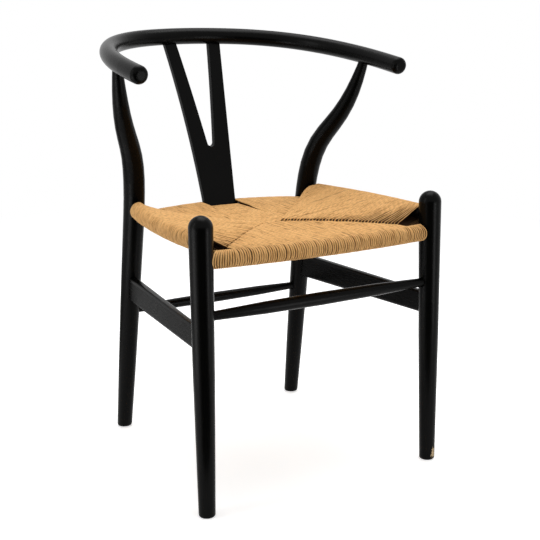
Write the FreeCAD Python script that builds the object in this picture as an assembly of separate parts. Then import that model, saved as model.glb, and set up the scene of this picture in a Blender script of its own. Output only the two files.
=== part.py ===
import FreeCAD
import Part

import math
import os

from FreeCAD import Vector

# A wooden dining chair with a bent top bow, a forked back splat and a woven cord seat.
# Millimetres, +Z up. The chair faces -Y, and left and right are as seen from its front, so right is +X.
# The origin is on the floor under the middle of the outline. Pairs are built on the right and mirrored.

# Top bow: a round rod bent in one plane, which rises from the arm ends to the back
bow_radius = 15.4
bow_end_x = 253.6
bow_spread_x = 257.0
bow_end_y = -94.7
bow_end_z = 695.4
bow_back_y = 246.5
bow_back_z = 744.6
bow_arm_share = 0.328
bow_back_share = 0.969
bow_end_round = 8.5
bow_arc_shares = (0.0, 0.3, 0.5, 0.7, 1.0)

# Front legs: turned, with a dome on top
front_foot_x = 225.0
front_foot_y = -244.7
front_dome_x = 221.6
front_dome_y = -231.0
front_dome_z = 473.0
front_leg_foot_radius = 13.9
front_leg_middle_radius = 17.6
front_leg_top_radius = 19.5
foot_round = 4.0
foot_trim = 0.6

# Back legs: straight and raked to a little below the seat, then an S in the plane through foot, seat and bow
back_foot_x = 191.9
back_foot_y = 179.0
back_seat_x = 183.9
back_seat_y = 116.0
back_seat_z = 440.0
back_leg_foot_radius = 14.4
back_leg_belly_radius = 19.5
back_leg_top_radius = 7.9
back_leg_belly_height = 495.0
back_leg_straight = 408.0
back_leg_lower_pull = 207.0
back_leg_upper_pull = 193.0
back_leg_top_lean = 11.5
back_leg_taper_power = 1.8
leg_on_bow_share = 0.262
foot_round_shares = (0.0, 0.3, 1.0)
back_leg_straight_shares = (0.3, 0.55, 0.65, 0.78)
back_leg_section_spacing = 25.0

# Seat rails: round rods that bow outward, the side pair higher than the front and back pair
rail_radius = 10.9
front_rail_z = 421.7
front_rail_bow = 14.9
back_rail_z = 418.6
back_rail_bow = 18.2
side_rail_front_z = 449.8
side_rail_back_z = 446.9
side_rail_bow = 15.0
rail_tenon_radius = 7.5
rail_neck = 5.0
rail_shoulder_gap = 2.6
rail_section_shares = (0.125, 0.25, 0.375, 0.5, 0.625, 0.75, 0.875)

# Round stretchers, thicker in the middle
front_stretcher_z = 331.9
front_stretcher_middle_radius = 11.2
front_stretcher_end_radius = 7.6
back_stretcher_z = 243.6
back_stretcher_middle_radius = 10.0
back_stretcher_end_radius = 7.0
stretcher_section_shares = (0.25, 0.5, 0.75)

# Flat side stretchers, taller and thicker at the back
side_stretcher_front_z = 291.9
side_stretcher_back_z = 289.6
side_stretcher_front_height = 39.0
side_stretcher_back_height = 46.0
side_stretcher_front_thickness = 14.0
side_stretcher_back_thickness = 17.0
side_stretcher_round = 5.0
side_tenon_height = 22.0
side_tenon_thickness = 8.0

# Back splat: a bent board that forks into two prongs
splat_thickness = 11.0
splat_ahead_of_rail = 6.0
splat_behind_bow = 5.0
splat_bend = 8.4
splat_foot_half_width = 32.2
splat_middle_half_width = 43.8
splat_top_half_width = 60.8
splat_prong_width = 23.2
splat_crotch_radius = 8.0
splat_crotch_z = 547.0
splat_into_bow = 2.0
splat_middle_share = 0.52
splat_tenon_half_width = 25.0
splat_tenon_thickness = 7.0
splat_tenon_depth = 13.0
splat_tenon_root = 4.0
splat_tenon_ahead_of_rail = 3.0
splat_foot_share = 0.7

# Woven seat: one thin cord that runs over each rail, with an upper and a lower layer
cord_diameter = 3.6
cord_pitch = 4.05
cord_sides = 6
front_seam_x = 169.0
front_seam_y = -217.0
back_seam_x = 155.0
back_seam_y = 85.0
seam_apex_x = 17.0
seam_apex_y = -68.0
splat_gap_half_width = 34.0
front_corner_top_z = 435.0
back_corner_top_z = 439.0
corner_under_z = 411.0
seam_apex_top_z = 432.0
seam_apex_under_z = 409.0
cross_cord_rise = 1.0
side_weave_front_y = -206.0
side_weave_back_y = 85.0
weave_section_shares = (0.0, 0.125, 0.25, 0.375, 0.5, 0.625, 0.75, 0.875, 1.0)
roll_corner_shares = (0.0, 0.125, 0.25, 0.375, 0.5, 0.625, 0.75, 0.875, 1.0)

# Tacks for the cord ends, in a row on the inner side of each side rail
tack_count = 3
tack_spacing = 36.0
tack_first_y = -170.0
tack_shank_radius = 0.7
tack_length = 9.0
tack_head_radius = 1.8
tack_head_height = 0.8

# Fits
joint_clearance = 0.15
cord_clearance = 0.3
tenon_past_axis = 5.0
overrun = 30.0
halvings = 40

up = Vector(0, 0, 1)
floor_origin = Vector(0, 0, 0)
sideways = Vector(1, 0, 0)


def mirrored(shape):
    """The same piece on the other side of the chair."""
    return shape.mirror(floor_origin, sideways)


def rod(start, direction, length, radius):
    """A straight round bar."""
    return Part.makeCylinder(radius, length, start, direction)


def unit(vector):
    """The direction of a vector."""
    return vector * (1 / vector.Length)


def swelling(start_radius, middle_radius, end_radius, share):
    """The radius of a turned piece part of the way along, from its radius at both ends and in the middle."""
    between_ends = start_radius + share * (end_radius - start_radius)
    bulge = middle_radius - (start_radius + end_radius) / 2
    return between_ends + 4 * share * (1 - share) * bulge


def ring(centre, direction, radius):
    """A round section of a rod."""
    return Part.Wire(Part.makeCircle(radius, centre, direction))


def foot_rings(axis, radius):
    """The level rings that round the edge of a foot, from the floor up, on a leg axis given by height."""
    rings = []
    for share in foot_round_shares:
        inset = foot_round * (1 - math.sqrt(1 - (1 - share) ** 2))
        rings.append(ring(axis(foot_round * share), up, radius - inset))
    return rings


def smooth_pair(start, start_way, end, end_way):
    """Two arcs that join two points and leave and arrive along two given directions."""
    chord = end - start
    both = start_way + end_way
    square = 4 - both.dot(both)
    slope = chord.dot(both)
    pull = (math.sqrt(slope ** 2 + square * chord.dot(chord)) - slope) / square
    first_corner = start + start_way * pull
    last_corner = end - end_way * pull
    joint = (first_corner + last_corner) * 0.5
    arcs = []
    for head, corner, tail in ((start, first_corner, joint), (joint, last_corner, end)):
        weight = (tail - head).Length / (2 * pull)
        middle = (head + corner * (2 * weight) + tail) * (1 / (2 + 2 * weight))
        arcs.append(Part.Arc(head, middle, tail).toShape())
    return arcs


def arc_rod(arc, radius):
    """A round rod along one arc."""
    start = arc.valueAt(arc.FirstParameter)
    profile = Part.makeCircle(radius, start, arc.tangentAt(arc.FirstParameter))
    turn = math.degrees(arc.LastParameter - arc.FirstParameter)
    return Part.Face(Part.Wire(profile)).revolve(arc.Curve.Center, arc.Curve.Axis, turn)


# Top bow

def bow_point(x, y):
    """A point in the tilted plane of the bow."""
    rise_share = (y - bow_end_y) / (bow_back_y - bow_end_y)
    return Vector(x, y, bow_end_z + rise_share * (bow_back_z - bow_end_z))


def bow_half():
    """The centre line of the right half of the bow, from its arm end to the back."""
    straight_end_y = bow_end_y + bow_arm_share * (bow_back_y - bow_end_y)
    curve = Part.BezierCurve()
    curve.setPoles([
        bow_point(bow_end_x, bow_end_y),
        bow_point(bow_spread_x, straight_end_y),
        bow_point(bow_back_share * bow_spread_x, bow_back_y),
        bow_point(0, bow_back_y),
    ])
    return curve


def bow_blank():
    """The bow with rounded arm ends, before its mortises: a chain of arcs along the centre line."""
    line = bow_half()
    rods = []
    for first, last in zip(bow_arc_shares, bow_arc_shares[1:]):
        ends = []
        for share in (first, last):
            ends.extend((line.value(share), unit(line.tangent(share)[0])))
        rods.extend(arc_rod(arc, bow_radius) for arc in smooth_pair(*ends))
    rods.extend([mirrored(piece) for piece in rods])
    blank = rods[0].fuse(rods[1:])
    ends = [face for face in blank.Faces if isinstance(face.Surface, Part.Plane)]
    return blank.makeFillet(bow_end_round, [edge for face in ends for edge in face.Edges])


# Front legs

front_foot = Vector(front_foot_x, front_foot_y, 0)
front_dome = Vector(front_dome_x, front_dome_y, front_dome_z)


def front_leg_axis(height):
    """The point at a given height on the axis of the right front leg."""
    return front_foot + (front_dome - front_foot) * (height / front_dome_z)


def front_leg_blank(grow):
    """The turned right front leg with its dome, larger all round by grow, trimmed level at the floor."""
    length = (front_dome - front_foot).Length
    foot = front_leg_foot_radius + grow
    top = front_leg_top_radius + grow
    bend = math.sin(math.radians(45))
    foot_centre = Vector(foot - foot_round, 0, foot_round - foot_trim)
    foot_low = foot_centre - up * foot_round
    foot_side = foot_centre + sideways * foot_round
    foot_middle = foot_centre + (sideways - up) * (foot_round * bend)
    middle = Vector(front_leg_middle_radius + grow, 0, length / 2)
    dome_start = Vector(top, 0, length)
    dome_middle = Vector(top * bend, 0, length + top * bend)
    dome_end = Vector(0, 0, length + top)
    outline = Part.Wire([
        Part.makeLine(Vector(0, 0, -foot_trim), foot_low),
        Part.Arc(foot_low, foot_middle, foot_side).toShape(),
        Part.makeLine(foot_side, middle),
        Part.makeLine(middle, dome_start),
        Part.Arc(dome_start, dome_middle, dome_end).toShape(),
        Part.makeLine(dome_end, Vector(0, 0, -foot_trim)),
    ])
    leg = Part.Face(outline).revolve(floor_origin, up, 360)
    leg.Placement = FreeCAD.Placement(front_foot, FreeCAD.Rotation(up, front_dome - front_foot))
    corner = front_foot - Vector(overrun, overrun, overrun)
    return leg.cut(Part.makeBox(2 * overrun, 2 * overrun, overrun, corner))


# Back legs

back_foot = Vector(back_foot_x, back_foot_y, 0)
back_seat = Vector(back_seat_x, back_seat_y, back_seat_z)
back_along = unit(back_seat - back_foot)
back_crest = bow_half().value(leg_on_bow_share)
crest_along = (back_crest - back_foot).dot(back_along)
crest_offset = back_crest - back_foot - back_along * crest_along
back_across = unit(crest_offset)


def back_leg_axis(height):
    """The point at a given height on the straight stretch of the right back leg's axis."""
    return back_foot + back_along * (height / back_along.z)


def back_sweep():
    """The S of the right back leg, from the end of its straight stretch to the bow."""
    lean = math.radians(back_leg_top_lean)
    arrival = back_along * math.cos(lean) + back_across * math.sin(lean)
    curve = Part.BezierCurve()
    curve.setPoles([
        back_foot + back_along * back_leg_straight,
        back_foot + back_along * (back_leg_straight + back_leg_lower_pull),
        back_crest - arrival * back_leg_upper_pull,
        back_crest,
    ])
    return curve


def back_leg_radius(height):
    """The leg swells from the foot to its belly, then thins towards the bow."""
    if height < back_leg_belly_height:
        below_share = 1 - height / back_leg_belly_height
        return back_leg_belly_radius - (back_leg_belly_radius - back_leg_foot_radius) * below_share ** 2
    above_share = (height - back_leg_belly_height) / (back_crest.z - back_leg_belly_height)
    loss = back_leg_belly_radius - back_leg_top_radius
    return back_leg_belly_radius - loss * above_share ** back_leg_taper_power


def back_leg_blank(grow):
    """The right back leg, whose thin top enters the bow, larger all round by grow."""
    rings = foot_rings(back_leg_axis, back_leg_foot_radius + grow)
    sweep = back_sweep()
    straight_height = sweep.StartPoint.z
    for share in back_leg_straight_shares:
        height = share * straight_height
        rings.append(ring(back_leg_axis(height), up, back_leg_radius(height) + grow))
    count = round(sweep.length() / back_leg_section_spacing)
    for centre in sweep.toShape().discretize(Number=count + 1):
        direction = unit(sweep.tangent(sweep.parameter(centre))[0])
        rings.append(ring(centre, direction, back_leg_radius(centre.z) + grow))
    return Part.makeLoft(rings, True, True)


# Seat rails

def bowed_line(start, end, outward, bow):
    """The centre line of a rail: an arc whose middle stands out from the straight line by bow."""
    return Part.Arc(start, (start + end) * 0.5 + outward * bow, end)


def mirror_point(point):
    """The same point on the left."""
    return Vector(-point.x, point.y, point.z)


front_rail_end = front_leg_axis(front_rail_z)
front_rail_line = bowed_line(mirror_point(front_rail_end), front_rail_end, Vector(0, -1, 0), front_rail_bow)
back_rail_end = back_leg_axis(back_rail_z)
back_rail_line = bowed_line(mirror_point(back_rail_end), back_rail_end, Vector(0, 1, 0), back_rail_bow)
side_rail_front = front_leg_axis(side_rail_front_z)
side_rail_back = back_leg_axis(side_rail_back_z)
side_rail_outward = unit((side_rail_back - side_rail_front).cross(up))
side_rail_line = bowed_line(side_rail_front, side_rail_back, side_rail_outward, side_rail_bow)


def rod_rings(line, start_leg_radius, end_leg_radius, end_radius, middle_rings, grow):
    """The rings of a rod between two leg axes, with a straight tenon at both ends."""
    rings = []
    for point, parameter, leg_radius in (
        (line.StartPoint, line.FirstParameter, start_leg_radius),
        (line.EndPoint, line.LastParameter, end_leg_radius),
    ):
        way = unit(line.tangent(parameter)[0])
        inward = way if point == line.StartPoint else way * -1
        tenon = [ring(point - inward * (tenon_past_axis + grow), way, end_radius + grow)]
        tenon.append(ring(point + inward * leg_radius, way, end_radius + grow))
        rings.append(tenon)
    first, last = rings
    return first + middle_rings + last[::-1]


def along(line, distance):
    """The point and direction on a line at a distance from its start."""
    parameter = line.FirstParameter + distance / line.length() * (line.LastParameter - line.FirstParameter)
    return line.value(parameter), line.tangent(parameter)[0]


def seat_rail(arc, start_leg_radius, end_leg_radius, grow):
    """A bowed seat rail, necked down to a round tenon at both ends."""
    length = arc.length()
    start_shoulder = start_leg_radius + rail_shoulder_gap
    end_shoulder = end_leg_radius + rail_shoulder_gap
    distances = [start_shoulder + rail_neck]
    distances.extend(share * length for share in rail_section_shares)
    distances.append(length - end_shoulder - rail_neck)
    middle = [ring(*along(arc, distance), rail_radius + grow) for distance in distances]
    rings = rod_rings(arc, start_shoulder, end_shoulder, rail_tenon_radius, middle, grow)
    return Part.makeLoft(rings, True, True)


def round_stretcher(line, leg_radius, middle_radius, end_radius):
    """A round stretcher, thicker in the middle, whose ends are its tenons."""
    middle = []
    for share in stretcher_section_shares:
        radius = swelling(end_radius, middle_radius, end_radius, share)
        middle.append(ring(*along(line, share * line.length()), radius))
    return Part.makeLoft(rod_rings(line, leg_radius, leg_radius, end_radius, middle, 0), True, True)


def mortises(line, radius):
    """The round holes for the two tenons of a rod, each from past the axis of its leg to outside it."""
    first = unit(line.tangent(line.FirstParameter)[0])
    last = unit(line.tangent(line.LastParameter)[0]) * -1
    holes = []
    for point, inward in ((line.StartPoint, first), (line.EndPoint, last)):
        deep = tenon_past_axis + joint_clearance
        holes.append(rod(point - inward * deep, inward, deep + overrun, radius + joint_clearance))
    return holes


# Stretchers

side_stretcher_start = front_leg_axis(side_stretcher_front_z)
side_stretcher_end = back_leg_axis(side_stretcher_back_z)
side_stretcher_along = unit(side_stretcher_end - side_stretcher_start)
side_stretcher_across = unit(side_stretcher_along.cross(up))
side_stretcher_upward = side_stretcher_across.cross(side_stretcher_along)


def board_corners(centre, height, thickness):
    """The four corners of an upright rectangle across the side stretcher."""
    corners = []
    for across, upward in ((-1, -1), (1, -1), (1, 1), (-1, 1)):
        out = side_stretcher_across * (across * thickness / 2)
        rise = side_stretcher_upward * (upward * height / 2)
        corners.append(centre + out + rise)
    return corners


def flat_face(corners):
    """A flat face with straight sides."""
    return Part.Face(Part.makePolygon(corners + corners[:1]))


def side_stretcher_blank():
    """The right side stretcher between the leg axes, with rounded long edges."""
    front = board_corners(side_stretcher_start, side_stretcher_front_height, side_stretcher_front_thickness)
    back = board_corners(side_stretcher_end, side_stretcher_back_height, side_stretcher_back_thickness)
    faces = [flat_face(front), flat_face(back)]
    for index in range(len(front)):
        faces.append(flat_face([front[index - 1], front[index], back[index], back[index - 1]]))
    board = Part.makeSolid(Part.makeShell(faces))
    long_edges = [edge for edge in board.Edges if edge.Length > side_stretcher_back_height]
    return board.makeFillet(side_stretcher_round, long_edges)


def side_stretcher_tenons(grow):
    """The two flat tenons of the right side stretcher."""
    height = side_tenon_height + 2 * grow
    thickness = side_tenon_thickness + 2 * grow
    ends = ((side_stretcher_start, side_stretcher_along), (side_stretcher_end, side_stretcher_along * -1))
    tenons = []
    for point, inward in ends:
        first = point - inward * (tenon_past_axis + grow)
        section = flat_face(board_corners(first, height, thickness))
        tenons.append(section.extrude(inward * (overrun + tenon_past_axis + grow)))
    return tenons


# Back splat

rail_middle = back_rail_line.value((back_rail_line.FirstParameter + back_rail_line.LastParameter) / 2)
splat_foot = Vector(0, rail_middle.y - splat_ahead_of_rail, back_rail_z)
splat_head = Vector(0, bow_back_y + splat_behind_bow, bow_back_z)
splat_top_z = bow_back_z + splat_into_bow


def splat_outline(grow):
    """The splat seen from the front, with its fork."""
    foot_z = back_rail_z + splat_foot_share * rail_radius
    top_z = splat_top_z + grow
    middle_z = foot_z + splat_middle_share * (splat_top_z - foot_z)
    foot = splat_foot_half_width + grow
    middle = splat_middle_half_width + grow
    top = splat_top_half_width + grow
    inner = splat_top_half_width - splat_prong_width - grow
    crotch = splat_crotch_radius - grow
    rise = top_z - splat_crotch_z
    angle = math.atan2(rise, inner) - math.acos(crotch / math.hypot(rise, inner))
    touch = Vector(crotch * math.cos(angle), 0, splat_crotch_z + crotch * math.sin(angle))
    crotch_low = Vector(0, 0, splat_crotch_z - crotch)
    right_foot = Vector(foot, 0, foot_z)
    right_middle = Vector(middle, 0, middle_z)
    right_top = Vector(top, 0, top_z)
    right_inner = Vector(inner, 0, top_z)
    return Part.Wire([
        Part.makeLine(mirror_point(right_foot), right_foot),
        Part.Arc(right_foot, right_middle, right_top).toShape(),
        Part.makeLine(right_top, right_inner),
        Part.makeLine(right_inner, touch),
        Part.Arc(touch, crotch_low, mirror_point(touch)).toShape(),
        Part.makeLine(mirror_point(touch), mirror_point(right_inner)),
        Part.makeLine(mirror_point(right_inner), mirror_point(right_top)),
        Part.Arc(mirror_point(right_top), mirror_point(right_middle), mirror_point(right_foot)).toShape(),
    ])


def splat_band(grow):
    """The splat seen from the side: a bent band of even thickness, wider than the splat."""
    lean = unit(splat_head - splat_foot)
    forward = unit(lean.cross(sideways)) * -1
    middle = (splat_foot + splat_head) * 0.5 + forward * splat_bend
    line = Part.Arc(splat_foot - lean * overrun, middle, splat_head + lean * overrun)
    circle = line.toShape().Curve
    half = splat_thickness / 2 + grow
    corners = []
    for offset in (half, -half):
        share = (circle.Radius + offset) / circle.Radius
        points = (line.StartPoint, middle, line.EndPoint)
        corners.append([circle.Center + (point - circle.Center) * share for point in points])
    outer, inner = corners
    band = Part.Wire([
        Part.Arc(*outer).toShape(),
        Part.makeLine(outer[2], inner[2]),
        Part.Arc(*inner).toShape(),
        Part.makeLine(inner[0], outer[0]),
    ])
    face = Part.Face(band)
    face.translate(sideways * -(splat_top_half_width + overrun))
    return face.extrude(sideways * (2 * (splat_top_half_width + overrun)))


def splat_blank(grow):
    """The bent, forked board, larger all round by grow."""
    face = Part.Face(splat_outline(grow))
    face.translate(Vector(0, splat_foot.y - overrun, 0))
    depth = splat_head.y - splat_foot.y + 2 * overrun
    return face.extrude(Vector(0, depth, 0)).common(splat_band(grow))


def splat_tenon(grow):
    """The tenon under the splat, which enters the back rail from above."""
    half = splat_tenon_half_width + grow
    thick = splat_tenon_thickness + 2 * grow
    rail_top = back_rail_z + rail_radius
    depth = splat_tenon_depth + grow
    corner = Vector(-half, rail_middle.y - splat_tenon_ahead_of_rail - thick / 2, rail_top - depth)
    return Part.makeBox(2 * half, thick, depth + splat_tenon_root, corner)


# Woven seat

roll_inner = rail_radius + cord_clearance
roll_outer = roll_inner + cord_diameter


def weave_section(rail_point, rail_direction, seam_x, seam_y, top_z, under_z):
    """The outline of both cord layers in the upright plane through a rail point and its seam point."""
    inward = Vector(seam_x - rail_point.x, seam_y - rail_point.y, 0)
    across = unit(rail_direction.cross(up))
    reach = inward.Length - cord_clearance
    inward = unit(inward)
    stretch = 1 / abs(inward.dot(across))
    along = reach / stretch

    def place(distance, height):
        return rail_point + inward * (distance * stretch) + up * height

    def leaves(layer_z, side):
        height = layer_z - rail_point.z
        return height, math.atan2(height, along) + side * math.acos(roll_outer / math.hypot(along, height))

    top, top_angle = leaves(top_z, 1)
    under, under_angle = leaves(under_z, -1)
    turn = under_angle + 2 * math.pi - top_angle
    corner_turn = turn / (len(roll_corner_shares) - 1)
    outer = []
    inner = []
    for share in roll_corner_shares:
        angle = top_angle + share * turn
        around = Vector(math.cos(angle), math.sin(angle), 0)
        outer.append(place(roll_outer * around.x, roll_outer * around.y))
        clear = roll_inner / math.cos(corner_turn / 2)
        inner.append(place(clear * around.x, clear * around.y))
    corners = [place(along, top)] + outer + [place(along, under)]
    corners += [place(along, under + cord_diameter)] + inner[::-1] + [place(along, top - cord_diameter)]
    return corners


def arc_at(arc, value, axis_name):
    """The parameter of an arc where one coordinate has a given value, found by halving."""
    low, high = arc.FirstParameter, arc.LastParameter
    rising = getattr(arc.value(high), axis_name) > getattr(arc.value(low), axis_name)
    for _ in range(halvings):
        middle = (low + high) / 2
        if (getattr(arc.value(middle), axis_name) < value) == rising:
            low = middle
        else:
            high = middle
    return (low + high) / 2


def mixed(first, last, share):
    """A value of each kind part of the way from the first list to the last."""
    return [a + share * (b - a) for a, b in zip(first, last)]


def weave_field(arc, axis_name, stretches):
    """One field of cords over a rail. A stretch is a place on the rail and a seam at both of its ends."""
    sections = []
    for first_place, first_seam, last_place, last_seam in stretches:
        for share in weave_section_shares[1 if sections else 0:]:
            parameter = arc_at(arc, first_place + share * (last_place - first_place), axis_name)
            seam = mixed(first_seam, last_seam, share)
            sections.append(weave_section(arc.value(parameter), arc.tangent(parameter)[0], *seam))
    faces = [flat_face(sections[0]), flat_face(sections[-1])]
    for first, last in zip(sections, sections[1:]):
        for index in range(len(first)):
            faces.append(flat_face([first[index - 1], first[index], last[index]]))
            faces.append(flat_face([first[index - 1], last[index], last[index - 1]]))
    return Part.makeSolid(Part.makeShell(faces))


# A seam is its x, its y and the heights of the upper and lower layer. The side fields end in a blunt apex.
front_seam = (front_seam_x, front_seam_y, front_corner_top_z, corner_under_z)
left_front_seam = (-front_seam_x, front_seam_y, front_corner_top_z, corner_under_z)
back_seam = (back_seam_x, back_seam_y, back_corner_top_z, corner_under_z)
apex_seam = (seam_apex_x, seam_apex_y, seam_apex_top_z, seam_apex_under_z)
left_apex_seam = (-seam_apex_x, seam_apex_y, seam_apex_top_z, seam_apex_under_z)
splat_gap_share = (splat_gap_half_width - seam_apex_x) / (back_seam_x - seam_apex_x)
splat_gap_seam = mixed(apex_seam, back_seam, splat_gap_share)
apex_share = (seam_apex_y - front_seam_y) / (back_seam_y - front_seam_y)
apex_place = side_weave_front_y + apex_share * (side_weave_back_y - side_weave_front_y)


def front_weave():
    """The field over the front rail, from corner to corner."""
    return weave_field(front_rail_line, "x", [
        (front_seam_x, front_seam, seam_apex_x, apex_seam),
        (seam_apex_x, apex_seam, -seam_apex_x, left_apex_seam),
        (-seam_apex_x, left_apex_seam, -front_seam_x, left_front_seam),
    ])


def side_weave():
    """The field over the right side rail: up the diagonal to its apex, then down to the back corner."""
    return weave_field(side_rail_line, "y", [
        (side_weave_front_y, front_seam, apex_place, apex_seam),
        (apex_place, apex_seam, side_weave_back_y, back_seam),
    ])


def back_weave():
    """The field over the back rail to the right of the splat."""
    return weave_field(back_rail_line, "x", [
        (back_seam_x, back_seam, splat_gap_half_width, splat_gap_seam),
    ])


def centre_weave():
    """The cross cords that show between the two back fields, in front of the splat."""
    front_y = seam_apex_y + cord_clearance
    gap_y = splat_gap_seam[1] + 2 * cord_clearance
    back_y = splat_foot.y - splat_thickness / 2 - cord_clearance
    half = splat_gap_half_width - cord_clearance
    right = [Vector(seam_apex_x, front_y, 0), Vector(half, gap_y, 0), Vector(half, back_y, 0)]
    left = [mirror_point(point) for point in right[::-1]]
    front_top = Vector(-half, front_y, seam_apex_top_z)
    back_top = Vector(-half, back_y, seam_apex_top_z + cross_cord_rise)
    thick = up * cord_diameter
    layer = flat_face([front_top, back_top, back_top - thick, front_top - thick]).extrude(sideways * (2 * half))
    return flat_face(right + left).extrude(up * (back_top.z + overrun)).common(layer)


def rail_winding():
    """The cord wound round the right end of the front rail, between the woven field and the leg."""
    cord_radius = cord_diameter / 2
    turn_radius = roll_inner + cord_radius
    inner_x = front_seam_x + cord_clearance + cord_radius
    outer_x = front_rail_end.x - front_leg_top_radius - cord_clearance - cord_radius
    start = front_rail_line.value(arc_at(front_rail_line, inner_x, "x"))
    end = front_rail_line.value(arc_at(front_rail_line, outer_x, "x"))
    axis = unit(end - start)
    level = unit(up.cross(axis))
    rise = axis.cross(level)
    half_turns = int(2 * (end - start).Length / cord_pitch)
    step = (end - start).Length / half_turns

    def turn(index):
        angle = math.pi * index
        around = level * math.cos(angle) + rise * math.sin(angle)
        way = (rise * math.cos(angle) - level * math.sin(angle)) * (math.pi * turn_radius) + axis * step
        return start + axis * (step * index) + around * turn_radius, unit(way)

    edges = []
    for index in range(half_turns):
        edges.extend(smooth_pair(*turn(index), *turn(index + 1)))
    spine = Part.Wire(edges)
    first, way = turn(0)
    profile = []
    for index in range(cord_sides + 1):
        angle = 2 * math.pi * index / cord_sides
        out = level * (cord_radius * math.cos(angle)) + way.cross(level) * (cord_radius * math.sin(angle))
        profile.append(first + out)
    print("least gap in a rail winding", 2 * step - cord_diameter, "mm over", half_turns / 2, "turns")
    return spine.makePipeShell([Part.makePolygon(profile)], True, False)


# Tacks

def tacks():
    """The row of tacks driven into the right side rail."""
    row = []
    for index in range(tack_count):
        parameter = arc_at(side_rail_line, tack_first_y + index * tack_spacing, "y")
        inward = unit(up.cross(side_rail_line.tangent(parameter)[0]))
        seat = side_rail_line.value(parameter) + inward * rail_radius
        shank = rod(seat - inward * tack_length, inward, tack_length, tack_shank_radius)
        row.append(shank.fuse(rod(seat, inward, tack_head_height, tack_head_radius)).removeSplitter())
    return row


def level_line(axis, height):
    """The line between a pair of leg axes at a given height."""
    return Part.LineSegment(mirror_point(axis(height)), axis(height))


def main():
    """Build every piece and write it to its own file."""
    os.makedirs("parts", exist_ok=True)
    front_spindle = level_line(front_leg_axis, front_stretcher_z)
    back_spindle = level_line(back_leg_axis, back_stretcher_z)

    side_holes = mortises(side_rail_line, rail_tenon_radius) + side_stretcher_tenons(joint_clearance)
    front_holes = mortises(front_rail_line, rail_tenon_radius)
    front_holes.extend(mortises(front_spindle, front_stretcher_end_radius))
    back_holes = mortises(back_rail_line, rail_tenon_radius)
    back_holes.extend(mortises(back_spindle, back_stretcher_end_radius))
    front_seat = front_leg_blank(joint_clearance)
    back_seat_right = back_leg_blank(joint_clearance)
    bow_seats = [back_seat_right, mirrored(back_seat_right), splat_blank(joint_clearance)]

    rail_groove = seat_rail(back_rail_line, back_leg_belly_radius, back_leg_belly_radius, joint_clearance)
    splat = splat_blank(0).cut(rail_groove).fuse(splat_tenon(0)).removeSplitter()
    front_rail = seat_rail(front_rail_line, front_leg_top_radius, front_leg_top_radius, 0)
    back_rail = seat_rail(back_rail_line, back_leg_belly_radius, back_leg_belly_radius, 0)
    side_board = side_stretcher_blank().cut([front_seat, back_seat_right])
    right_winding = rail_winding()
    right_tacks = tacks()
    pieces = {
        "top_bow": bow_blank().cut(bow_seats),
        "back_splat": splat,
        "front_seat_rail": front_rail,
        "back_seat_rail": back_rail.cut(splat_tenon(joint_clearance)),
        "front_stretcher": round_stretcher(front_spindle, front_leg_top_radius,
                                           front_stretcher_middle_radius, front_stretcher_end_radius),
        "back_stretcher": round_stretcher(back_spindle, back_leg_belly_radius,
                                          back_stretcher_middle_radius, back_stretcher_end_radius),
        "seat_weave_front": front_weave(),
        "seat_weave_centre": centre_weave(),
        "front_rail_windings": Part.makeCompound([right_winding, mirrored(right_winding)]),
        "cord_tacks": Part.makeCompound(right_tacks + [mirrored(tack) for tack in right_tacks]),
    }
    pairs = {
        "front_leg_{}": front_leg_blank(0).cut(front_holes + side_holes),
        "back_leg_{}": back_leg_blank(0).cut(back_holes + side_holes),
        "{}_seat_rail": seat_rail(side_rail_line, front_leg_top_radius, back_leg_belly_radius, 0),
        "{}_side_stretcher": side_board.fuse(side_stretcher_tenons(0)).removeSplitter(),
        "seat_weave_{}": side_weave(),
        "seat_weave_back_{}": back_weave(),
    }
    for pattern, piece in pairs.items():
        pieces[pattern.format("right")] = piece
        pieces[pattern.format("left")] = mirrored(piece)
    for name, piece in pieces.items():
        piece.exportStep("parts/" + name + ".step")
        print(name, len(piece.Solids), "solids", round(piece.Volume), "mm3", "valid", piece.isValid())


main()
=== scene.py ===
# %% [markdown]
# # A black wooden dining chair with a woven cord seat
# The chair has turned legs, one bent bow that is back and arms at once, a forked splat and a seat of
# twisted paper cord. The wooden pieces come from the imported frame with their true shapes, so this
# lesson gives them a finish. The seat is soft, so every cord of it is made here, one by one.

# %% Load the frame
import math

import bpy
import numpy as np
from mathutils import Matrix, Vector


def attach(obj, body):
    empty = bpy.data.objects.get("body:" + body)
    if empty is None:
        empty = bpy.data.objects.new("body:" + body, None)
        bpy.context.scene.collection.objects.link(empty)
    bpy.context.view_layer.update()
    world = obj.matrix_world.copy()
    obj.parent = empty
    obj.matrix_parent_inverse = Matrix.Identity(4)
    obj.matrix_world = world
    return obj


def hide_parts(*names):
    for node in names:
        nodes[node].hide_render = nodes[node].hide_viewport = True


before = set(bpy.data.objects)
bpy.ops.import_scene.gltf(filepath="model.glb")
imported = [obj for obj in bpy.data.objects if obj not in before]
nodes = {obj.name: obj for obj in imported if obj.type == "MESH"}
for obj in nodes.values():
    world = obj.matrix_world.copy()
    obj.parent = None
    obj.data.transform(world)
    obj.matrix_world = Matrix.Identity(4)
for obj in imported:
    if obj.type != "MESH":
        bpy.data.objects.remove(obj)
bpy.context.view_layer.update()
print("nodes in the frame:", len(nodes))

# %% [markdown]
# ## The camera
# The photograph was taken from the front, a little to the left and above the seat, with a long lens.
# Setting the camera first lets every later render be laid beside the photograph. The place, the aim and
# the lens are what makes the feet, the leg tops and the ends of the bow fall where the photograph has them.

# %% Camera
camera_place = Vector((-0.9226, -1.6432, 0.8036))
camera_aim = Vector((0.0137, -0.0377, 0.3354))
camera_lens = 70.22
sensor_width = 36.0

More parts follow.
